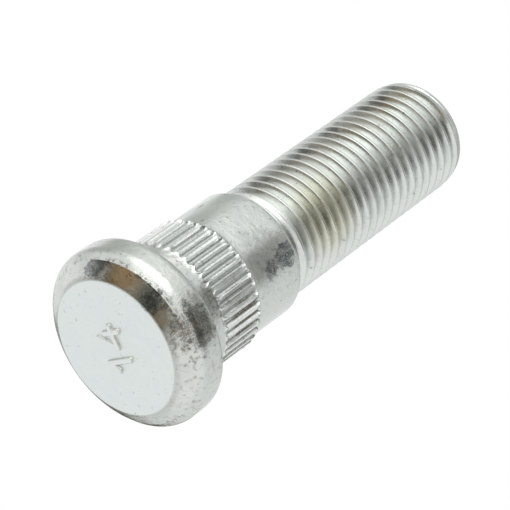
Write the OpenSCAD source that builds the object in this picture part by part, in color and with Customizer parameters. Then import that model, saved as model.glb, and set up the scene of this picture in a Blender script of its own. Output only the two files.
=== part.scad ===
// Press-in wheel stud, M14 x 1.5, forged and rolled from one piece of steel.
// It stands on the face of its head. Z runs along its axis, from that face
// to the tip of the thread. The lengths below are stacked from the face up.

/* [Head] */
// Diameter of the head
head_d = 21.5; // [20.6:0.1:25]
// Height of the head, from its face to the seat under it
head_h = 5.1; // [4.6:0.1:8]
// Diameter of the flat part of the face
face_d = 16.1; // [14.6:0.1:17.2]
// Slope of the bevel round the face, measured from the face
bevel_slope = 36; // [25:1:42]
// Radius of the round edge between the bevel and the rim
front_edge_r = 1.5; // [0.4:0.1:1.8]
// Radius of the round edge between the rim and the seat
back_edge_r = 0.5; // [0.2:0.1:0.9]

/* [Neck and knurl] */
// Diameter of the plain neck between the seat and the knurl
neck_d = 16.05; // [15.8:0.05:16.1]
// Length of the neck
neck_l = 3.7; // [2:0.1:6]
// Diameter over the ridges of the knurl
knurl_d = 16.25; // [16.15:0.05:17]
// Length of the knurl, with its sloping ends
knurl_l = 6.4; // [4:0.1:12]
// Number of grooves round the knurl
groove_count = 44; // [36:1:44]
// Width of a groove at the top of the ridges
groove_w = 0.64; // [0.4:0.02:0.7]
// Radial depth of a groove
groove_depth = 0.36; // [0.26:0.02:0.4]

/* [Plain shank] */
// Diameter of the plain shank
shank_d = 15.45; // [15.2:0.05:15.75]
// Length of the plain shank up to its shoulder
shank_l = 7.3; // [4:0.1:14]
// Height of the sloping shoulder down to the thread
shoulder_h = 1; // [0.6:0.1:2]
// Radius of the round edge at the top of the shank
shoulder_r = 0.5; // [0.1:0.1:0.9]

/* [Thread] */
// Diameter over the crests of the thread
thread_d = 13.85; // [13.7:0.01:14]
// Distance from one crest to the next
pitch = 1.5; // [1.25:0.25:2]
// Radial depth of the thread
thread_depth = 0.86; // [0.6:0.02:0.92]
// Width of the flat on a crest
crest_w = 0.25; // [0.15:0.01:0.35]
// Width of the bottom of a groove
root_w = 0.3; // [0.15:0.01:0.35]
// Length of the thread, from the shoulder to the tip
thread_l = 32.7; // [20:0.1:60]
// Length over which the first grooves grow to full depth
runout_l = 3.5; // [1:0.5:5]
// Drop from the crests to the smooth start of the thread, on the radius
runout_drop = 0.2; // [0:0.02:0.4]
// Length of the rounded tip
tip_l = 2.6; // [1.5:0.1:4]
// Diameter of the flat end of the tip
tip_d = 11.9; // [10:0.1:12.1]

/* [Hidden] */
// Straight steps in each round edge, and round the thread
EDGE_STEPS = 6;
TURN_STEPS = 40;
// Points of the thread's section in one pitch
SECTION = 4;
// Points of the thread this close to an end lie on it
snap = 0.001;

seat_z = head_h;
knurl_z = seat_z + neck_l;
shank_z = knurl_z + knurl_l;
shoulder_z = shank_z + shank_l;
thread_z = shoulder_z + shoulder_h;
tip_z = thread_z + thread_l;

face_r = face_d / 2;
head_r = head_d / 2;
neck_r = neck_d / 2;
knurl_r = knurl_d / 2;
shank_r = shank_d / 2;
crest_r = thread_d / 2;
root_r = crest_r - thread_depth;
start_r = crest_r - runout_drop;
tip_r = tip_d / 2;

// Radius of the round bottom of a groove, from its width and depth
groove_r = (pow(groove_w / 2, 2) + pow(groove_depth, 2)) / (2 * groove_depth);
// Rise of the knurl's ends, which slope at 45 degrees
knurl_rise = knurl_r - neck_r;
knurl_fall = knurl_r - shank_r;
// Small round edge where the face meets its bevel
face_edge_r = 0.2;
// Fillet under the head
neck_fillet_r = 0.3;
// Step in from the small end of the shoulder to the start of the thread
ledge = 0.03;

// Points of the arc of radius r that rounds corner b between points a and c
function round_corner(a, b, c, r) =
    let (
        to_a = (a - b) / norm(a - b),
        to_c = (c - b) / norm(c - b),
        half = acos(to_a * to_c) / 2,
        middle = b + (to_a + to_c) / norm(to_a + to_c) * r / sin(half),
        first = b + to_a * r / tan(half) - middle,
        last = b + to_c * r / tan(half) - middle,
        turn = 180 - 2 * half
    )
    [for (i = [0:EDGE_STEPS])
        let (t = i / EDGE_STEPS)
        middle + (sin((1 - t) * turn) * first + sin(t * turn) * last) / sin(turn)];

// Outline from corners [radius, height, edge radius]; 0 leaves a corner sharp
function rounded_outline(corners) =
    let (n = len(corners))
    [for (i = [0:n - 1])
        let (
            a = corners[(i + n - 1) % n],
            b = corners[i],
            c = corners[(i + 1) % n]
        )
        each b[2] == 0
            ? [[b[0], b[1]]]
            : round_corner([a[0], a[1]], [b[0], b[1]], [c[0], c[1]], b[2])];

// Head, neck, knurl and shank before the grooves are rolled in
module blank() {
    bevel_h = (head_r - face_r) * tan(bevel_slope);
    rotate_extrude()
        polygon(rounded_outline([
            [0, 0, 0],
            [face_r, 0, face_edge_r],
            [head_r, bevel_h, front_edge_r],
            [head_r, seat_z, back_edge_r],
            [neck_r, seat_z, neck_fillet_r],
            [neck_r, knurl_z, 0],
            [knurl_r, knurl_z + knurl_rise, 0],
            [knurl_r, shank_z - knurl_fall, 0],
            [shank_r, shank_z, 0],
            [shank_r, shoulder_z, shoulder_r],
            [start_r + ledge, thread_z, 0],
            [0, thread_z, 0],
        ]));
}

// One groove: a round bottom with a ball-shaped end towards the head, which
// runs out over the sloping end of the knurl on the shank's side
module groove() {
    floor_r = knurl_r - groove_depth;
    low_z = knurl_z + knurl_rise + groove_r;
    high_z = shank_z - groove_r;
    translate([floor_r + groove_r, 0, 0]) {
        translate([0, 0, low_z])
            cylinder(r = groove_r, h = high_z - low_z, $fn = 24);
        translate([0, 0, low_z])
            sphere(r = groove_r, $fn = 24);
        translate([0, 0, high_z])
            sphere(r = groove_r, $fn = 24);
    }
}

module knurled_blank() {
    difference() {
        blank();
        for (i = [0:groove_count - 1])
            rotate([0, 0, i * 360 / groove_count])
                groove();
    }
}

// Right-hand thread, one closed surface. Each column of points runs up the
// section at one angle, and each column lies a step further up the helix.
// Points past either end gather on that end, where the section is round.
module thread() {
    pitches = ceil(thread_l / pitch) + 2;
    last = pitches * SECTION - 1;
    section_z = [-crest_w / 2, crest_w / 2, (pitch - root_w) / 2, (pitch + root_w) / 2];
    section_r = [crest_r, crest_r, root_r, root_r];

    function height(j, k) =
        thread_z + (floor(k / SECTION) - 1 + j / TURN_STEPS) * pitch + section_z[k % SECTION];
    function growth(z) = min(1, (z - thread_z) / runout_l);
    function crest_at(z) = start_r + (crest_r - start_r) * growth(z);
    function tip_at(z) =
        let (t = max(0, (z - tip_z + tip_l) / tip_l))
        tip_r + (crest_r - tip_r) * sqrt(1 - t * t);
    function radius(k, z) =
        min(tip_at(z), crest_at(z) - (crest_r - section_r[k % SECTION]) * growth(z));

    // Lowest and highest point of column j that stand for all those past the ends
    function first_of(j) = max([for (k = [0:last]) if (height(j, k) <= thread_z + snap) k]);
    function last_of(j) = min([for (k = [0:last]) if (height(j, k) >= tip_z - snap) k]);
    firsts = [for (j = [0:TURN_STEPS - 1]) first_of(j)];
    lasts = [for (j = [0:TURN_STEPS - 1]) last_of(j)];

    // A column one whole turn on is the first column, one pitch further up
    function point(j, k) =
        let (
            turn = floor(j / TURN_STEPS),
            column = j % TURN_STEPS,
            level = min(max(k + turn * SECTION, firsts[column]), lasts[column])
        )
        column * (last + 1) + level;
    function face(a, b, c) = a == b || b == c || c == a ? [] : [[a, b, c]];

    points = [for (j = [0:TURN_STEPS - 1], k = [0:last])
        let (
            z = k <= firsts[j] ? thread_z : k >= lasts[j] ? tip_z : height(j, k),
            a = j * 360 / TURN_STEPS,
            r = radius(k, z)
        )
        [r * cos(a), r * sin(a), z]];
    bottom = len(points);
    top = bottom + 1;
    sides = [for (j = [0:TURN_STEPS - 1], k = [0:last - 1])
        each concat(
            face(point(j, k), point(j, k + 1), point(j + 1, k + 1)),
            face(point(j, k), point(j + 1, k + 1), point(j + 1, k)))];
    ends = [for (j = [0:TURN_STEPS - 1])
        each [
            [bottom, point(j, 0), point(j + 1, 0)],
            [top, point(j + 1, last), point(j, last)],
        ]];
    polyhedron(
        points = concat(points, [[0, 0, thread_z], [0, 0, tip_z]]),
        faces = concat(sides, ends));
}

module wheel_stud() {
    color([0.8, 0.82, 0.81]) {
        knurled_blank();
        thread();
    }
}

wheel_stud();
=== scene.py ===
"""A press-in wheel stud, standing on the face of its head, in a white studio.

The part's frame has +Z along the stud, from the face of the head to the tip of
the thread. Lengths are written in millimetres and scaled by MM where Blender
takes metres. The camera looks up at the head from below, as the photograph does.
"""
import math
from collections import namedtuple
from types import SimpleNamespace
import bpy
import numpy as np
from mathutils import Matrix, Vector


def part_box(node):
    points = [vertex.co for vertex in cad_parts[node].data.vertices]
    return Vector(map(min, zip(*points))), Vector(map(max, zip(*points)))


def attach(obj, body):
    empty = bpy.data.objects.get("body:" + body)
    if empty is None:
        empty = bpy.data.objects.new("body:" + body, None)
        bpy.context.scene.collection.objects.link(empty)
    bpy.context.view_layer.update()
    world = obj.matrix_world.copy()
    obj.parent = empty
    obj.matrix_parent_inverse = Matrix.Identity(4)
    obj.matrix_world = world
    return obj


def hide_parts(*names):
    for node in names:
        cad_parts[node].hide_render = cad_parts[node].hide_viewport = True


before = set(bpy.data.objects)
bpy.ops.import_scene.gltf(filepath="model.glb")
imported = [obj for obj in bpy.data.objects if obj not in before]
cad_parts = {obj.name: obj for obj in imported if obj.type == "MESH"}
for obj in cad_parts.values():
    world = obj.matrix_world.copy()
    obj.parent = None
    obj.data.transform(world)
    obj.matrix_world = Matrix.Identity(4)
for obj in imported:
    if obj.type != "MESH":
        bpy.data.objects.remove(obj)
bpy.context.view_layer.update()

MM = 0.001
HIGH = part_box("wheel_stud")[1]

# Sizes of the head, from the frame where it gives them
HEAD_R = HIGH.x / MM
FACE_R = 8.05
FACE_EDGE_R = 0.25
BEVEL_SLOPE = 36.0
BEVEL_R = 9.9
BEVEL_EDGE_R = 0.15
RIM_SLOPE = 46.0
FRONT_EDGE_R = 1.3
RIM_BACK_R = 10.7
RIM_TOP_Z = 4.3
RIM_BARREL_R = 7.0
BACK_EDGE_R = 0.4
SEAT_Z = 5.1

# Sizes of the neck, the knurl and the shank
NECK_R = 8.025
NECK_FILLET_R = 0.3
KNURL_Z = 8.8
KNURL_R = 8.125
KNURL_FALL_L = 0.5
GROOVE_COUNT = 44
GROOVE_W = 0.76
GROOVE_DEPTH = 0.36
# Power that rounds a groove's floor, where 0.5 would give half an ellipse
GROOVE_ROUND = 0.6
# The grooves end this far short of the knurl's upper end
GROOVE_GAP = 0.3
# Low lip round each end of a groove. Its middle and width are shares of half the groove's width.
LIP_H = 0.07
LIP_L = 0.6
LIP_MIDDLE = 1.2
LIP_W = 0.22
SHANK_Z = 15.2
SHANK_R = 7.725
SHANK_TOP_Z = 21.7
SHOULDER_Z = 22.5
SHOULDER_R = 0.5

# Sizes of the thread
THREAD_Z = 23.5
TIP_Z = HIGH.z / MM
CREST_R = 6.925
THREAD_DEPTH = 0.86
PITCH = 1.5
CREST_W = 0.25
CREST_EDGE_R = 0.1
ROOT_W = 0.3
ROOT_EDGE_R = 0.14
RUNOUT_L = 1.2
RUNOUT_DROP = 0.06
LEDGE = 0.03
TIP_L = 2.6
TIP_R = 5.95
# The thread's grooves run out over this length before the smooth end of the tip
FADE_Z = 55.7
FADE_L = 1.5

# How finely each zone is drawn
HEAD_COLUMNS = 208
THREAD_COLUMNS = 112
ARC_STEPS = 8
HEAD_STEP = 0.6
SLOPE_STEP = 0.3
# Columns across one groove and its ridges, as shares of their width from the groove's middle
KNURL_SHARES = (-0.5, -0.4, -0.32, -0.27, -0.2, -0.1, 0.0, 0.1, 0.2, 0.27, 0.32, 0.4)
# Points of the thread this close to an end lie on it
SNAP = 0.004

SEED = 7


def link(obj):
    bpy.context.scene.collection.objects.link(obj)
    return obj


def make_mesh(name, points, faces):
    """A smooth mesh object from points in millimetres."""
    places = (np.asarray(points, float) * MM).tolist()
    corners = [[int(point) for point in face] for face in faces]
    mesh = bpy.data.meshes.new(name)
    mesh.from_pydata(places, [], corners)
    mesh.validate()
    mesh.shade_smooth()
    mesh.set_sharp_from_angle(angle=math.radians(40))
    return link(bpy.data.objects.new(name, mesh))


# Outlines and rings

def round_corner(a, b, c, radius, steps=ARC_STEPS):
    """Points of the arc that rounds corner b of the path a, b, c."""
    a, b, c = (np.array(p, float) for p in (a, b, c))
    to_a = (a - b) / np.linalg.norm(a - b)
    to_c = (c - b) / np.linalg.norm(c - b)
    half = math.acos(to_a @ to_c) / 2
    middle = b + (to_a + to_c) / np.linalg.norm(to_a + to_c) * radius / math.sin(half)
    first = b + to_a * radius / math.tan(half) - middle
    last = b + to_c * radius / math.tan(half) - middle
    turn = math.pi - 2 * half
    shares = [i / steps for i in range(steps + 1)]
    return [
        middle + (math.sin((1 - t) * turn) * first + math.sin(t * turn) * last) / math.sin(turn)
        for t in shares
    ]


def rounded_path(corners):
    """Path through corners (radius, height, edge radius); an edge radius of 0 leaves a corner sharp."""
    path = [np.array(corners[0][:2], float)]
    for before, here, after in zip(corners, corners[1:], corners[2:]):
        if here[2]:
            path += round_corner(before[:2], here[:2], after[:2], here[2])
        else:
            path.append(np.array(here[:2], float))
    path.append(np.array(corners[-1][:2], float))
    return path


def fill_long_steps(path, longest):
    """The same path with every step longer than longest split evenly."""
    out = [path[0]]
    for a, b in zip(path, path[1:]):
        count = max(1, math.ceil(np.linalg.norm(b - a) / longest))
        out += [a + (b - a) * i / count for i in range(1, count + 1)]
    return out


def even_angles(count):
    return np.arange(count) * 2 * math.pi / count


def ring(radius, height, angles):
    """Points of one ring. The radius and the height may differ from angle to angle."""
    radius = np.broadcast_to(radius, angles.shape)
    height = np.broadcast_to(height, angles.shape)
    return np.stack([radius * np.cos(angles), radius * np.sin(angles), height], axis=1)


class Skin:
    """Collects rings from the face up and joins each to the one before, whatever their counts."""

    def __init__(self):
        self.points = []
        self.faces = []
        # The last ring, as the numbers of its points and their angles
        self.open = None

    def add_points(self, points):
        start = len(self.points)
        self.points += list(points)
        return np.arange(start, start + len(points))

    def add_ring(self, radius, height, angles):
        ids = self.add_points(ring(radius, height, angles))
        if self.open is not None:
            self.join(self.open, (ids, angles))
        self.open = (ids, angles)

    def add_path(self, path, angles):
        for radius, height in path:
            self.add_ring(radius, height, angles)

    def join(self, lower, upper):
        """Faces between two rings: quads where their counts are the same, else triangles."""
        low, low_angles = lower
        high, high_angles = upper
        if len(low) == len(high):
            self.faces += list(zip(low, np.roll(low, -1), np.roll(high, -1), high))
            return
        i = j = 0
        low_next = np.append(low_angles[1:], 2 * math.pi)
        high_next = np.append(high_angles[1:], 2 * math.pi)
        while i < len(low) or j < len(high):
            here, there = low[i % len(low)], high[j % len(high)]
            if j == len(high) or (i < len(low) and low_next[i] <= high_next[j]):
                self.faces.append((here, low[(i + 1) % len(low)], there))
                i += 1
            else:
                self.faces.append((here, high[(j + 1) % len(high)], there))
                j += 1

    def fan(self, height, upwards):
        """Closes the open ring with a centre point at a height."""
        centre = self.add_points([(0, 0, height)])[0]
        ids = self.open[0]
        for a, b in zip(ids, np.roll(ids, -1)):
            self.faces.append((a, b, centre) if upwards else (b, a, centre))


# Head

def add_head(skin):
    angles = even_angles(HEAD_COLUMNS)
    bevel_h = (BEVEL_R - FACE_R) * math.tan(math.radians(BEVEL_SLOPE))
    rim_h = bevel_h + (HEAD_R - BEVEL_R) * math.tan(math.radians(RIM_SLOPE))
    # From a small ring at the middle of the face to one on the seat, next to the neck's first
    path = fill_long_steps(rounded_path([
        (1.0, 0, 0),
        (FACE_R, 0, FACE_EDGE_R),
        (BEVEL_R, bevel_h, BEVEL_EDGE_R),
        (HEAD_R, rim_h, FRONT_EDGE_R),
        (HEAD_R, RIM_TOP_Z, RIM_BARREL_R),
        (RIM_BACK_R, SEAT_Z, BACK_EDGE_R),
        (NECK_R + 1.0, SEAT_Z, 0),
    ]), HEAD_STEP)
    skin.add_path(path[:1], angles)
    skin.fan(0, upwards=False)
    skin.add_path(path[1:], angles)


# Neck, knurl and shank

def knurl_angles():
    """Angles round the knurl, closer together at the sides of each groove."""
    turns = (np.arange(GROOVE_COUNT)[:, None] + 0.5 + np.array(KNURL_SHARES)) / GROOVE_COUNT
    return turns.ravel() * 2 * math.pi


def groove_spread():
    """How far the ends, the width and the depth of each groove are off their named values."""
    rng = np.random.default_rng(SEED)
    return {
        "low": rng.normal(0, 0.06, GROOVE_COUNT),
        "high": rng.normal(0, 0.05, GROOVE_COUNT),
        "width": rng.normal(0, 0.05, GROOVE_COUNT),
        "depth": rng.normal(0, 0.07, GROOVE_COUNT),
    }


def blank_radius(z):
    """Radius before the grooves are rolled in, with a slope at both ends of the knurl."""
    heights = [KNURL_Z - 0.05, KNURL_Z + 0.2, SHANK_Z - KNURL_FALL_L, SHANK_Z]
    return np.interp(z, heights, [NECK_R, KNURL_R, KNURL_R, SHANK_R])


def knurl_radius(z, angles, spread):
    """Radius with the grooves, which have round floors and ends and a low lip round each end."""
    place = angles / (2 * math.pi) * GROOVE_COUNT
    index = np.floor(place).astype(int) % GROOVE_COUNT
    aside = (place - np.floor(place) - 0.5) * 2 * math.pi * KNURL_R / GROOVE_COUNT
    low = KNURL_Z + GROOVE_W / 2 + spread["low"][index]
    high = SHANK_Z - GROOVE_GAP - GROOVE_W / 2 + spread["high"][index]
    beyond = np.maximum(0, np.maximum(low - z, z - high))
    across = np.hypot(aside, beyond) / (GROOVE_W / 2 * (1 + spread["width"][index]))
    floor = np.clip(1 - across ** 2, 0, 1) ** GROOVE_ROUND
    cut = GROOVE_DEPTH * (1 + spread["depth"][index]) * floor
    near_end = np.clip(np.maximum(low + LIP_L - z, z - high + LIP_L) / LIP_L, 0, 1)
    lip = LIP_H * np.exp(-((across - LIP_MIDDLE) / LIP_W) ** 2) * near_end * (across > 1)
    return np.minimum(blank_radius(z) + lip, KNURL_R - cut + lip)


def body_heights():
    """Heights of the rings from the neck to the shank, close together at the knurl's ends."""
    neck = [SEAT_Z + 2.0, SEAT_Z + 3.0, KNURL_Z - 0.3]
    lower_end = KNURL_Z - 0.1 + np.arange(0, 1.1, 0.07)
    middle = np.linspace(KNURL_Z + 1.3, SHANK_Z - 1.3, 4)
    upper_end = SHANK_Z - 1.0 + np.arange(0, 1.15, 0.09)
    shank = np.linspace(SHANK_Z + 0.5, SHANK_TOP_Z, 5)
    return np.concatenate([neck, lower_end, middle, upper_end, shank])


def add_body(skin):
    angles = knurl_angles()
    spread = groove_spread()
    skin.add_path(rounded_path([
        (NECK_R + 0.9, SEAT_Z, 0),
        (NECK_R, SEAT_Z, NECK_FILLET_R),
        (NECK_R, SEAT_Z + 1.0, 0),
    ]), angles)
    for z in body_heights():
        skin.add_ring(knurl_radius(z, angles, spread), z, angles)
    shoulder = rounded_path([
        (SHANK_R, SHANK_TOP_Z, 0),
        (SHANK_R, SHOULDER_Z, SHOULDER_R),
        (CREST_R - RUNOUT_DROP, THREAD_Z, 0),
        (CREST_R - RUNOUT_DROP - LEDGE, THREAD_Z, 0),
    ])
    # The shank's last ring is already there, and the end of the ledge is the thread's first
    skin.add_path(fill_long_steps(shoulder[1:-1], SLOPE_STEP), angles)


# Thread

def thread_section():
    """One pitch of the thread's section, as (height, radius) points from a crest's middle up."""
    root_r = CREST_R - THREAD_DEPTH
    crest = (CREST_W / 2, CREST_R)
    root = ((PITCH - ROOT_W) / 2, root_r)
    next_root = (PITCH - root[0], root_r)
    by_crest = round_corner((0, CREST_R), crest, root, CREST_EDGE_R, steps=3)
    by_root = round_corner(crest, root, next_root, ROOT_EDGE_R, steps=3)
    # Two more points on each flank keep its shading flat
    top, bottom = by_crest[-1], by_root[0]
    flank = [top + (bottom - top) * share for share in (0.12, 0.88)]
    half = by_crest + flank + by_root
    mirrored = [np.array((PITCH - z, r)) for z, r in reversed(half)]
    return np.array(half + mirrored)


def thread_radius(section_r, z):
    """The section's radius at height z, where the thread grows, fades out or meets the rounded tip."""
    grown = np.clip((z - THREAD_Z) / RUNOUT_L, 0, 1)
    crest = CREST_R - (RUNOUT_DROP + LEDGE) * (1 - grown)
    faded = np.clip((FADE_Z - z) / FADE_L, 0, 1)
    plain = crest - (CREST_R - section_r) * grown * faded
    t = np.clip((z - TIP_Z + TIP_L) / TIP_L, 0, 1)
    tip = TIP_R + (CREST_R - TIP_R) * np.sqrt(1 - t * t)
    return np.minimum(plain, tip)


def thread_columns(section):
    """Height and radius of each level in each column, and each column's first and last level.

    Each column lies a step further up the helix. The levels past either end lie on that end.
    """
    size = len(section)
    count = size * (math.ceil((TIP_Z - THREAD_Z) / PITCH) + 3)
    column = np.arange(THREAD_COLUMNS)[:, None]
    level = np.arange(count)[None, :]
    height = THREAD_Z + (level // size - 2 + column / THREAD_COLUMNS) * PITCH + section[level % size, 0]
    first = (height <= THREAD_Z + SNAP).sum(axis=1) - 1
    last = count - (height >= TIP_Z - SNAP).sum(axis=1)
    height = np.where(level <= first[:, None], THREAD_Z, height)
    height = np.where(level >= last[:, None], TIP_Z, height)
    return height, thread_radius(section[level % size, 1], height), first, last


def add_thread(skin):
    """Right-hand thread with a flat end. Each column of points climbs one pitch in a turn."""
    section = thread_section()
    height, radius, first, last = thread_columns(section)
    angles = even_angles(THREAD_COLUMNS)
    across = radius * np.cos(angles)[:, None]
    along = radius * np.sin(angles)[:, None]
    level = np.arange(height.shape[1])
    keep = (level >= first[:, None]) & (level <= last[:, None])
    ids = np.full(keep.shape, -1)
    ids[keep] = skin.add_points(np.stack([across, along, height], axis=2)[keep])

    def at(column, level):
        """Point of a column. The column after the last is the first, one pitch further up."""
        turn, column = divmod(column, THREAD_COLUMNS)
        return ids[column, np.clip(level + turn * len(section), first[column], last[column])]

    columns = np.arange(THREAD_COLUMNS)
    skin.join(skin.open, (ids[columns, first], angles))
    low, high = level[:-1], level[1:]
    for column in columns:
        after = column + 1
        for quad in zip(at(column, low), at(after, low), at(after, high), at(column, high)):
            # Where levels gather on an end, a corner falls on the one before it
            face = [point for i, point in enumerate(quad) if point != quad[i - 1]]
            if len(face) > 2:
                skin.faces.append(face)
    skin.open = (ids[columns, last], angles)
    # Rings on the flat end
    skin.add_path([(TIP_R - step, TIP_Z) for step in (0.15, 1.0, 2.5)], angles)
    skin.fan(TIP_Z, upwards=True)


def make_stud():
    skin = Skin()
    add_head(skin)
    add_body(skin)
    add_thread(skin)
    return make_mesh("stud", skin.points, skin.faces)


# Raised number on the face: a plain 14, the thread's size in millimetres

MARK_RIGHT = np.array([-0.954, -0.299])
MARK_UP = np.array([-0.299, 0.954])
MARK_H = 0.24
MARK_STROKE = 0.72
# How far the foot of a stroke reaches past its width, and how wide its sloping side is
MARK_FOOT = 0.06
MARK_SIDE = 0.16
MARK_CELL = 0.05
# How deep the edge and the base of the relief lie in the head
MARK_EDGE_Z = 0.02
MARK_BASE_Z = 0.05


def mark_strokes():
    """Middle lines of the two digits, to the right and up from the middle of the face."""
    one = np.array([(-2.5, 0.7), (-1.5, 1.6), (-1.5, -1.6)])
    four_side = np.array([(1.5, 1.6), (0.1, -0.6), (2.6, -0.6)])
    four_stem = np.array([(1.9, 0.5), (1.9, -1.6)])
    return [one, four_side, four_stem]


def distance_to_path(points, path):
    """Least distance from each point to a path of straight steps."""
    a, b = path[:-1], path[1:]
    along = b - a
    share = ((points[:, None] - a) * along).sum(axis=2) / (along ** 2).sum(axis=1)
    near = a + np.clip(share, 0, 1)[..., None] * along
    return np.linalg.norm(points[:, None] - near, axis=2).min(axis=1)


def mark_heights(points):
    """Height of the relief at each point of the face, with smooth sides to the strokes."""
    away = np.min([distance_to_path(points, path) for path in mark_strokes()], axis=0)
    slope = np.clip((MARK_STROKE / 2 + MARK_FOOT - away) / MARK_SIDE, 0, 1)
    return MARK_H * slope * slope * (3 - 2 * slope)


def fill_corner_contacts(cells):
    """Fills a cell wherever two cells touch only at a corner, so that the relief is a clean solid."""
    here, right = cells[:-1, :-1], cells[1:, :-1]
    above, across = cells[:-1, 1:], cells[1:, 1:]
    right |= here & across & ~right & ~above
    here |= right & above & ~here & ~across


def covered_cells(inside):
    """Cells of a grid with at least one corner inside."""
    cells = inside[:-1, :-1] | inside[1:, :-1] | inside[:-1, 1:] | inside[1:, 1:]
    fill_corner_contacts(cells)
    return cells


def relief_faces(cells, index, count):
    """Top, base and walls of the cells. The base's points are numbered count on from the top's."""
    faces = []
    for i, j in zip(*np.nonzero(cells)):
        quad = [index[i, j], index[i + 1, j], index[i + 1, j + 1], index[i, j + 1]]
        faces.append(quad)
        faces.append([point + count for point in reversed(quad)])
        for k, (di, dj) in enumerate(((0, -1), (1, 0), (0, 1), (-1, 0))):
            if not cells[i + di, j + dj]:
                a, b = quad[k], quad[(k + 1) % 4]
                faces.append([b, a, a + count, b + count])
    return faces


def make_mark():
    """Closed relief over the digits: its top follows the strokes, its base is sunk in the face."""
    right = np.arange(-3.2, 3.3, MARK_CELL)
    up = np.arange(-2.3, 2.3, MARK_CELL)
    grid = np.stack(np.meshgrid(right, up, indexing="ij"), axis=2)
    flat = grid.reshape(-1, 2)
    count = len(flat)
    height = mark_heights(flat)
    top = np.where(height > 0, -height, MARK_EDGE_Z)
    cells = covered_cells((height > 0).reshape(grid.shape[:2]))
    place = flat[:, :1] * MARK_RIGHT + flat[:, 1:] * MARK_UP
    points = np.concatenate([
        np.column_stack([place, top]),
        np.column_stack([place, np.full(count, MARK_BASE_Z)]),
    ])
    faces = relief_faces(cells, np.arange(count).reshape(grid.shape[:2]), count)
    # Only the points that a face uses are kept
    used = np.unique(np.concatenate(faces))
    new = np.full(2 * count, -1)
    new[used] = np.arange(len(used))
    return make_mesh("size_mark", points[used], [new[face] for face in faces])


# Shader nodes

def new_material(name):
    material = bpy.data.materials.new(name)
    material.use_nodes = True
    material.node_tree.nodes.clear()
    return material, material.node_tree


def add_node(tree, kind, links=None, **settings):
    """A shader node, with its properties or socket values set and its inputs linked."""
    node = tree.nodes.new(kind)
    for name, value in settings.items():
        if hasattr(node, name):
            setattr(node, name, value)
        else:
            node.inputs[name.replace("_", " ")].default_value = value
    for name, source in (links or {}).items():
        tree.links.new(source, node.inputs[name])
    return node


def fill_socket(tree, socket, value):
    """Links an output to a socket, or sets a number or a colour on it."""
    if isinstance(value, (int, float)):
        socket.default_value = value
    elif isinstance(value, tuple):
        socket.default_value = (*value, 1)
    else:
        tree.links.new(value, socket)


def add_noise(tree, place, scale, detail):
    noise = add_node(tree, "ShaderNodeTexNoise", {"Vector": place}, Scale=scale, Detail=detail)
    return noise.outputs["Fac"]


def add_range(tree, value, low, high, start, end):
    """Goes smoothly from start to end while the value goes from low to high."""
    node = add_node(tree, "ShaderNodeMapRange", {"Value": value}, interpolation_type="SMOOTHSTEP")
    for name, number in (("From Min", low), ("From Max", high), ("To Min", start), ("To Max", end)):
        node.inputs[name].default_value = number
    return node.outputs["Result"]


def add_rise(tree, length, low, high, start=0.0, end=1.0):
    """Goes smoothly from start to end while a length goes from low to high, in millimetres."""
    return add_range(tree, length, low * MM, high * MM, start, end)


def add_fall(tree, length, low, high, end=0.0):
    """Goes smoothly from 1 to end while a length goes from low to high, in millimetres."""
    return add_rise(tree, length, low, high, 1.0, end)


def add_math(tree, operation, a, b):
    node = add_node(tree, "ShaderNodeMath", operation=operation)
    fill_socket(tree, node.inputs[0], a)
    fill_socket(tree, node.inputs[1], b)
    return node.outputs["Value"]


def add_product(tree, first, *others):
    for other in others:
        first = add_math(tree, "MULTIPLY", first, other)
    return first


def add_sum(tree, first, *others):
    for other in others:
        first = add_math(tree, "ADD", first, other)
    return first


def add_mix(tree, share, low, high):
    """Colour between two colours or colour outputs."""
    node = add_node(tree, "ShaderNodeMix", data_type="RGBA")
    tree.links.new(share, node.inputs["Factor"])
    sockets = [s for s in node.inputs if s.type == "RGBA"]
    fill_socket(tree, sockets[0], low)
    fill_socket(tree, sockets[1], high)
    return [s for s in node.outputs if s.type == "RGBA"][0]


def add_bump(tree, height, strength, depth, below=None):
    """Bump of a height times a depth in millimetres, on top of the bump below it."""
    links = {"Height": height}
    if below is not None:
        links["Normal"] = below
    node = add_node(tree, "ShaderNodeBump", links, Distance=depth * MM)
    fill_socket(tree, node.inputs["Strength"], strength)
    return node.outputs["Normal"]


def add_near(tree, place, centre, near, far):
    """1 within near of a centre and 0 beyond far, all in millimetres."""
    away = add_node(tree, "ShaderNodeVectorMath", operation="DISTANCE")
    tree.links.new(place, away.inputs[0])
    away.inputs[1].default_value = [c * MM for c in centre]
    return add_fall(tree, away.outputs["Value"], near, far)


# Zinc plate

# Colours of the clean metal, and of the knurl's painted shade and painted highlight
PLAIN_DARK = (0.60, 0.628, 0.60)
PLAIN_PALE = (0.68, 0.705, 0.672)
# Painted shade in the knurl's groove floors and a painted highlight on its ridges
KNURL_FLOOR_SHADE = (0.55, 0.585, 0.56)
KNURL_RIDGE_HIGHLIGHT = (0.80, 0.825, 0.81)
SHANK_COLOUR = (0.70, 0.742, 0.715)
THREAD_COLOUR = (0.70, 0.727, 0.705)
OLIVE = (0.66, 0.665, 0.57)

# Colours of the wear, of painted shade and of a painted dark reflection
# Grey of the sandy grain, also used for the painted shade round the face
GRAIN_AND_SHADE_GREY = (0.36, 0.36, 0.34)
# Painted dark reflection, in specks along the bevel's sharp edge
EDGE_REFLECTION_SPECKS = (0.16, 0.155, 0.14)
PIT = (0.20, 0.19, 0.17)
SOOT = (0.12, 0.12, 0.115)
RUST = (0.24, 0.16, 0.10)

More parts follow.
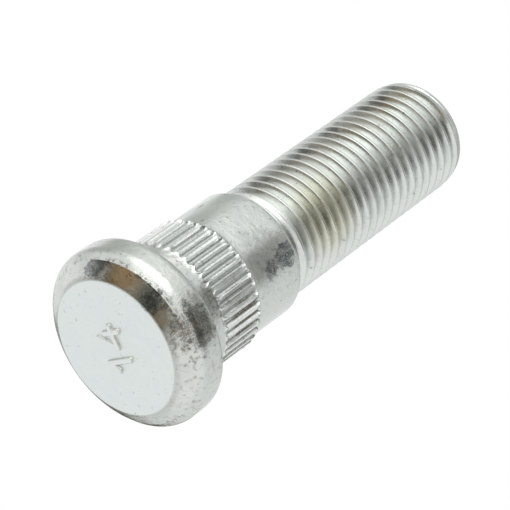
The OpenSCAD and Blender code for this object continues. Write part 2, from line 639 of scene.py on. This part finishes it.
# A stain has spots, each with its centre and the distances between which it fades. Noise makes its
# edge ragged, low to high is how it sets in, and share is how much of its colour covers the metal.
Stain = namedtuple("Stain", "name spots ragged low high share colour")
STAINS = (
    Stain("rim", [((3.0, -10.1, 2.3), 1.3, 4.3)], 2.4, 0.25, 1.0, 0.74, "sooty"),
    Stain("neck", [((0.4, -8.0, 6.8), 0.5, 4.0)], 2.4, 0.55, 1.1, 0.38, "sooty"),
    Stain("shank", [((0.6, -7.7, 18.4), 1.8, 4.6)], 2.2, 0.5, 1.1, 0.3, (0.34, 0.34, 0.32)),
    Stain("knurl", [((5.6, -5.8, 12.4), 1.3, 3.2)], 1.6, 0.3, 0.9, 0.95, (0.20, 0.17, 0.14)),
    Stain("bevel", [((-8.3, -3.5, 0.8), 0.3, 1.5), ((-1.7, -8.8, 0.8), 0.4, 2.2)],
          2.6, 0.45, 0.9, 0.75, (0.15, 0.165, 0.18)),
    Stain("tar", [((3.0, -7.1, 18.2), 0.3, 1.8), ((2.5, -7.3, 20.8), 0.9, 2.1)],
          2.2, 0.3, 1.1, 0.9, (0.10, 0.12, 0.15)),
)


def zinc_places(tree):
    """What the plate's colour and grain depend on: the place on the stud, its zones and the noises.

    The noises run from fine to coarse, with their scale in cells per metre.
    """
    place = add_node(tree, "ShaderNodeTexCoord").outputs["Object"]
    split = add_node(tree, "ShaderNodeSeparateXYZ", {"Vector": place})
    x, y, height = (split.outputs[axis] for axis in "XYZ")
    flat = add_node(tree, "ShaderNodeCombineXYZ", {"X": x, "Y": y}).outputs["Vector"]
    length = add_node(tree, "ShaderNodeVectorMath", {"Vector": flat}, operation="LENGTH")
    return SimpleNamespace(
        place=place,
        x=x,
        height=height,
        radius=length.outputs["Value"],
        off_face=add_rise(tree, height, 0.04, 0.12),
        on_knurl=add_product(tree, add_rise(tree, height, 8.6, 8.9), add_fall(tree, height, 15.0, 15.3)),
        on_thread=add_rise(tree, height, 23.0, 24.6),
        sand=add_noise(tree, place, 7500.0, 2.0),
        grains=add_noise(tree, place, 1700.0, 5.0),
        spots=add_noise(tree, place, 1300.0, 2.0),
        waves=add_noise(tree, place, 520.0, 2.0),
        clouds=add_noise(tree, place, 300.0, 5.0),
    )


def metal_colour_with_knurl_shade(tree, at):
    """Cloudy on the head and neck, brighter on shank and thread, with an olive patch; the knurl has
    painted shade towards its groove floors and a painted highlight on its ridges.
    """
    plain = add_mix(tree, add_range(tree, at.clouds, 0.35, 0.65, 0.0, 1.0), PLAIN_DARK, PLAIN_PALE)
    # Painted shade and highlight: darker towards the groove floors, lighter on the ridges
    knurl_shade_and_highlight = add_mix(tree, add_rise(tree, at.radius, 7.82, 8.02), KNURL_FLOOR_SHADE, KNURL_RIDGE_HIGHLIGHT)
    colour = add_mix(tree, at.on_knurl, plain, knurl_shade_and_highlight)
    colour = add_mix(tree, add_rise(tree, at.height, 15.0, 15.4, 0.0, 0.55), colour, SHANK_COLOUR)
    colour = add_mix(tree, at.on_thread, colour, THREAD_COLOUR)
    olive = add_product(tree, at.on_thread, add_near(tree, at.place, (1.9, -6.7, 30.5), 2.0, 6.5))
    return add_mix(tree, olive, colour, OLIVE)


def add_grain(tree, at, colour):
    """Sandy grain off the face, strongest on the head and towards +X."""
    share = add_product(
        tree,
        add_range(tree, at.grains, 0.5, 0.68, 0.0, 0.34),
        at.off_face,
        add_fall(tree, at.height, 5.0, 16.0, end=0.3),
        add_rise(tree, at.x, -6.0, 3.0, start=0.4))
    return add_mix(tree, share, colour, GRAIN_AND_SHADE_GREY)


def add_face_edge_shade(tree, at, colour):
    """Painted shade: a faint dark ring just outside the flat of the face, where it meets the bevel."""
    # Share of the painted shade, in a band just outside the face's edge
    share = add_product(
        tree,
        add_rise(tree, at.radius, 8.00, 8.22),
        add_fall(tree, at.radius, 8.30, 8.80),
        add_fall(tree, at.height, 0.9, 1.4),
        add_range(tree, at.clouds, 0.35, 0.6, 0.05, 0.55))
    return add_mix(tree, share, colour, GRAIN_AND_SHADE_GREY)


def add_edge_reflection_specks(tree, at, colour):
    """Dark specks along the sharp edge of the bevel, a painted dark reflection broken up by the grain,
    most of it on the side where the bevel is stained and reflects dark.
    """
    stained_and_dark_side = add_near(tree, at.place, (-2.0, -9.5, 1.5), 6.0, 9.0)
    # Share of the painted dark reflection specks
    share = add_product(
        tree,
        add_rise(tree, at.radius, 9.55, 9.90),
        add_fall(tree, at.radius, 9.90, 10.35),
        add_math(tree, "MAXIMUM", stained_and_dark_side, 0.42),
        add_fall(tree, at.height, 2.2, 2.6),
        add_range(tree, at.grains, 0.50, 0.58, 0.0, 0.85))
    return add_mix(tree, share, colour, EDGE_REFLECTION_SPECKS)


def add_blot(tree, at, stain):
    """Ragged patch over a stain's spots. The knurl's stain lies in its grooves only."""
    near = 0.0
    for centre, start, end in stain.spots:
        near = add_math(tree, "MAXIMUM", near, add_near(tree, at.place, centre, start, end))
    broken = add_product(tree, add_math(tree, "SUBTRACT", at.grains, 0.5), stain.ragged)
    blot = add_range(tree, add_sum(tree, near, broken), stain.low, stain.high, 0.0, 1.0)
    if stain.name == "knurl":
        blot = add_product(tree, blot, add_fall(tree, at.radius, 7.84, 8.00))
    return blot


def add_stains(tree, at, colour):
    """Dark stains with lighter specks in them; the sooty ones have rust in places."""
    specks = add_range(tree, at.sand, 0.48, 0.62, 1.0, 0.25)
    sooty = add_mix(tree, add_range(tree, at.spots, 0.54, 0.62, 0.0, 1.0), SOOT, RUST)
    for stain in STAINS:
        share = add_product(tree, add_blot(tree, at, stain), specks, stain.share)
        colour = add_mix(tree, share, colour, sooty if stain.colour == "sooty" else stain.colour)
    return colour


def add_pits(tree, at, colour):
    """Small dark pits, fewer on the thread and fainter on the face."""
    share = add_product(
        tree,
        add_range(tree, at.spots, 0.69, 0.75, 0.0, 0.6),
        add_fall(tree, at.height, 22.0, 24.5, end=0.15),
        add_range(tree, at.off_face, 0.0, 1.0, 0.45, 1.0))
    return add_mix(tree, share, colour, PIT)


def zinc_roughness(tree, at):
    """Cloudy gloss, dull on the face and a little duller on the thread and the knurl."""
    return add_sum(
        tree,
        add_range(tree, at.clouds, 0.3, 0.7, 0.12, 0.26),
        add_product(tree, add_math(tree, "SUBTRACT", 1.0, at.off_face), 0.3),
        add_range(tree, at.on_thread, 0.0, 1.0, 0.0, 0.08),
        add_range(tree, at.on_knurl, 0.0, 1.0, 0.0, 0.07))


def zinc_bump(tree, at):
    """Soft waves all over, and in patches off the face a coarse and a fine grain."""
    sandy = add_product(
        tree,
        add_range(tree, at.clouds, 0.38, 0.62, 0.3, 0.9),
        at.off_face,
        add_range(tree, at.on_thread, 0.0, 1.0, 1.0, 0.35))
    soft = add_bump(tree, at.waves, 0.4, 0.06)
    coarse = add_bump(tree, at.grains, sandy, 0.04, soft)
    return add_bump(tree, at.sand, sandy, 0.035, coarse)


def zinc_material():
    """Bright zinc plate: sandy where it was rolled or forged, duller on the face, stained in patches,
    with painted shade and a painted dark reflection.
    """
    material, tree = new_material("zinc_plate")
    at = zinc_places(tree)
    colour = metal_colour_with_knurl_shade(tree, at)
    # The wear, the painted shade and the painted reflection go on in turn
    for add_wear_and_painted_light in (add_grain, add_face_edge_shade, add_edge_reflection_specks, add_stains, add_pits):
        colour = add_wear_and_painted_light(tree, at, colour)
    shader = add_node(tree, "ShaderNodeBsdfPrincipled", {
        "Base Color": colour,
        "Roughness": zinc_roughness(tree, at),
        "Normal": zinc_bump(tree, at),
    }, Metallic=1.0)
    add_node(tree, "ShaderNodeOutputMaterial", {"Surface": shader.outputs[0]})
    return material


# Camera

def direction(azimuth, elevation):
    """Unit vector; azimuth 0 is -Y, the camera's side, and +90 is +X."""
    a, e = math.radians(azimuth), math.radians(elevation)
    return Vector((math.sin(a) * math.cos(e), -math.cos(a) * math.cos(e), math.sin(e)))


def make_camera():
    """Looks at the head from below it, turned so that the stud lies across the picture."""
    off_axis = 48.5
    distance = 314.1
    roll = 54.28
    aim_z = 25.0
    aim_right = -0.37
    aim_up = -1.03
    focal_mm = 197.6
    back = direction(0, off_axis - 90)
    level = Vector((1, 0, 0))
    up = level.cross(-back)
    turn = math.radians(roll)
    right = math.cos(turn) * level + math.sin(turn) * up
    top = math.cos(turn) * up - math.sin(turn) * level
    place = Vector((0, 0, aim_z)) + back * distance
    aim = Vector((0, 0, aim_z)) + right * aim_right + top * aim_up
    forward = (aim - place).normalized()
    right = forward.cross(top).normalized()
    top = right.cross(forward)
    data = bpy.data.cameras.new("camera")
    data.lens = focal_mm
    data.sensor_width = 36.0
    data.clip_start = 0.01
    data.clip_end = 10.0
    camera = link(bpy.data.objects.new("camera", data))
    turned = Matrix((right, top, -forward)).transposed().to_4x4()
    camera.matrix_world = Matrix.Translation(place * MM) @ turned
    bpy.context.scene.camera = camera


# Studio

STUDIO_CENTRE = Vector((0, 0, 0.025))
CARD_STEPS = 24

GREY = (0.6, 0.61, 0.59)
PALE = (0.86, 0.87, 0.87)
TOP = (0.52, 0.53, 0.52)
SHADE = (0.46, 0.46, 0.44)
DIM = (0.15, 0.15, 0.135)
DARK = (0.16, 0.16, 0.14)
DUSK = (0.22, 0.217, 0.18)
NIGHT = (0.07, 0.07, 0.06)
BROWN = (0.42, 0.24, 0.10)
BLACK = (0.04, 0.041, 0.04)
FRONT_LIGHT = (1.8, 1.8, 1.77)
MIDDLE_LIGHT = (2.05, 2.05, 2.0)
BACK_LIGHT = (1.27, 1.31, 1.37)

# Curved cards and soft boxes round the stud, each in front of the ones before it. The line lists
# (azimuth, lowest elevation, highest elevation) from one end of the card to the other. The fade is
# the share of the card over which each edge dies away, and the radius is in metres.
Card = namedtuple("Card", "name line colour fade radius")
CARDS = (
    Card("grey_left", [(-142, -24, 76), (-76, -24, 76)], GREY, 0.3, 0.64),
    Card("pale_right", [(56, -24, 66), (166, -24, 66)], PALE, 0.12, 0.637),
    Card("grey_top", [(-150, 40, 88), (60, 40, 88)], TOP, 0.2, 0.635),
    Card("grey_back", [(58, 44, 89), (212, 44, 89)], TOP, 0.12, 0.633),
    Card("dim_high", [(-10, -12, 84), (68, -12, 84)], SHADE, 0.26, 0.63),
    Card("dim_middle", [(-4, -8, 45), (64, -8, 45)], DIM, 0.3, 0.628),
    Card("dim_low", [(-10, -38, 8), (62, -38, 8)], DARK, 0.3, 0.625),
    Card("dim_behind", [(148, 4, 38), (196, 4, 38)], DARK, 0.25, 0.62),
    Card("dim_below", [
        (-134, -84, -22), (-101, -86, -30), (-85, -86, -36), (-65, -86, -42), (-37, -86, -48),
        (0, -86, -52), (28, -86, -54), (45, -86, -65), (100, -86, -65),
    ], DUSK, 0.12, 0.62),
    Card("dark_left", [(-128, -54, -36), (-98, -60, -44)], NIGHT, 0.2, 0.615),
    Card("brown_left", [(-101, -50, -33), (-85, -55, -38), (-60, -64, -47)], BROWN, 0.14, 0.61),
    Card("brown_right", [(-8, -73, -57), (18, -73, -58)], BROWN, 0.3, 0.60),
    Card("black_left", [(-124, -46, -24), (-103, -51, -30)], BLACK, 0.25, 0.59),
    Card("black_front", [(-56, -70, -50), (-8, -72, -56)], BLACK, 0.2, 0.58),
    Card("box_front", [(-76, -55, 14), (-4, -55, 14)], FRONT_LIGHT, 0.25, 0.56),
    Card("box_middle", [(-76, -26, 40), (-10, -26, 40)], MIDDLE_LIGHT, 0.3, 0.555),
    Card("box_back", [(140, -70, -12), (220, -70, -12)], BACK_LIGHT, 0.15, 0.54),
)

# The floor's half width in metres, its colour, and how far it lies under the raised number
FLOOR_HALF = 0.35
FLOOR_COLOUR = (0.93, 0.93, 0.925, 1)
FLOOR_GAP = 0.05


def make_world():
    """White all round, for the camera and in the reflections alike."""
    world = bpy.data.worlds.new("studio")
    world.use_nodes = True
    bpy.context.scene.world = world
    background = world.node_tree.nodes["Background"]
    background.inputs["Color"].default_value = (1, 1, 1, 1)
    background.inputs["Strength"].default_value = 1.0


def put_out_mixed(tree, share, low, high):
    """Puts a mix of two shaders on the material's output: low at a share of 0 and high at 1."""
    mix = add_node(tree, "ShaderNodeMixShader")
    tree.links.new(share, mix.inputs[0])
    tree.links.new(low.outputs[0], mix.inputs[1])
    tree.links.new(high.outputs[0], mix.inputs[2])
    add_node(tree, "ShaderNodeOutputMaterial", {"Surface": mix.outputs[0]})


def card_material(card):
    """Even glow that fades out over a share of the card at each edge."""
    material, tree = new_material(card.name)
    place = add_node(tree, "ShaderNodeTexCoord").outputs["UV"]
    split = add_node(tree, "ShaderNodeSeparateXYZ", {"Vector": place})
    share = 1.0
    for axis in "XY":
        low = add_range(tree, split.outputs[axis], 0.0, card.fade, 0.0, 1.0)
        high = add_range(tree, split.outputs[axis], 1.0 - card.fade, 1.0, 1.0, 0.0)
        share = add_product(tree, share, low, high)
    strength = max(card.colour)
    hue = (*[c / strength for c in card.colour], 1)
    glow = add_node(tree, "ShaderNodeEmission", Color=hue, Strength=strength)
    put_out_mixed(tree, share, add_node(tree, "ShaderNodeBsdfTransparent"), glow)
    return material


def card_mesh(card):
    """A patch of a sphere, with coordinates from 0 to 1 across it and up it."""
    azimuths, lows, highs = np.array(card.line, float).T
    places = np.linspace(azimuths[0], azimuths[-1], CARD_STEPS + 1)
    low = np.interp(places, azimuths, lows)
    high = np.interp(places, azimuths, highs)
    points = []
    for share in np.linspace(0, 1, CARD_STEPS + 1):
        for azimuth, elevation in zip(places, low + (high - low) * share):
            points.append(STUDIO_CENTRE + direction(azimuth, elevation) * card.radius)
    row = CARD_STEPS + 1
    faces = [
        (i * row + j, i * row + j + 1, (i + 1) * row + j + 1, (i + 1) * row + j)
        for i in range(CARD_STEPS) for j in range(CARD_STEPS)
    ]
    mesh = bpy.data.meshes.new(card.name)
    mesh.from_pydata(points, [], faces)
    layer = mesh.uv_layers.new(name="card")
    for loop in mesh.loops:
        up, across = divmod(loop.vertex_index, row)
        layer.data[loop.index].uv = (across / CARD_STEPS, up / CARD_STEPS)
    return mesh


def make_card(card):
    """A card seen only in the stud's reflections."""
    mesh = card_mesh(card)
    mesh.materials.append(card_material(card))
    obj = link(bpy.data.objects.new(card.name, mesh))
    obj.visible_camera = False
    obj.visible_diffuse = False
    obj.visible_shadow = False
    obj.visible_transmission = False


def make_floor():
    """Pale floor, clear from below and in reflections, which keeps the stud's shadow."""
    half = FLOOR_HALF
    drop = (MARK_H + FLOOR_GAP) * MM
    corners = [(-half, -half, -drop), (half, -half, -drop), (half, half, -drop), (-half, half, -drop)]
    mesh = bpy.data.meshes.new("floor")
    mesh.from_pydata(corners, [], [(0, 1, 2, 3)])
    material, tree = new_material("pale_floor")
    from_below = add_node(tree, "ShaderNodeNewGeometry").outputs["Backfacing"]
    pale = add_node(tree, "ShaderNodeBsdfDiffuse", Color=FLOOR_COLOUR)
    put_out_mixed(tree, from_below, pale, add_node(tree, "ShaderNodeBsdfTransparent"))
    mesh.materials.append(material)
    floor = link(bpy.data.objects.new("floor", mesh))
    floor.visible_glossy = False
    floor.visible_shadow = False


make_camera()
make_world()
for card in CARDS:
    make_card(card)
make_floor()

zinc = zinc_material()
stud = make_stud()
mark = make_mark()
for piece in (stud, mark):
    piece.data.materials.append(zinc)
    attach(piece, "root")
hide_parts("wheel_stud")
bpy.context.scene.view_settings.view_transform = "Standard"
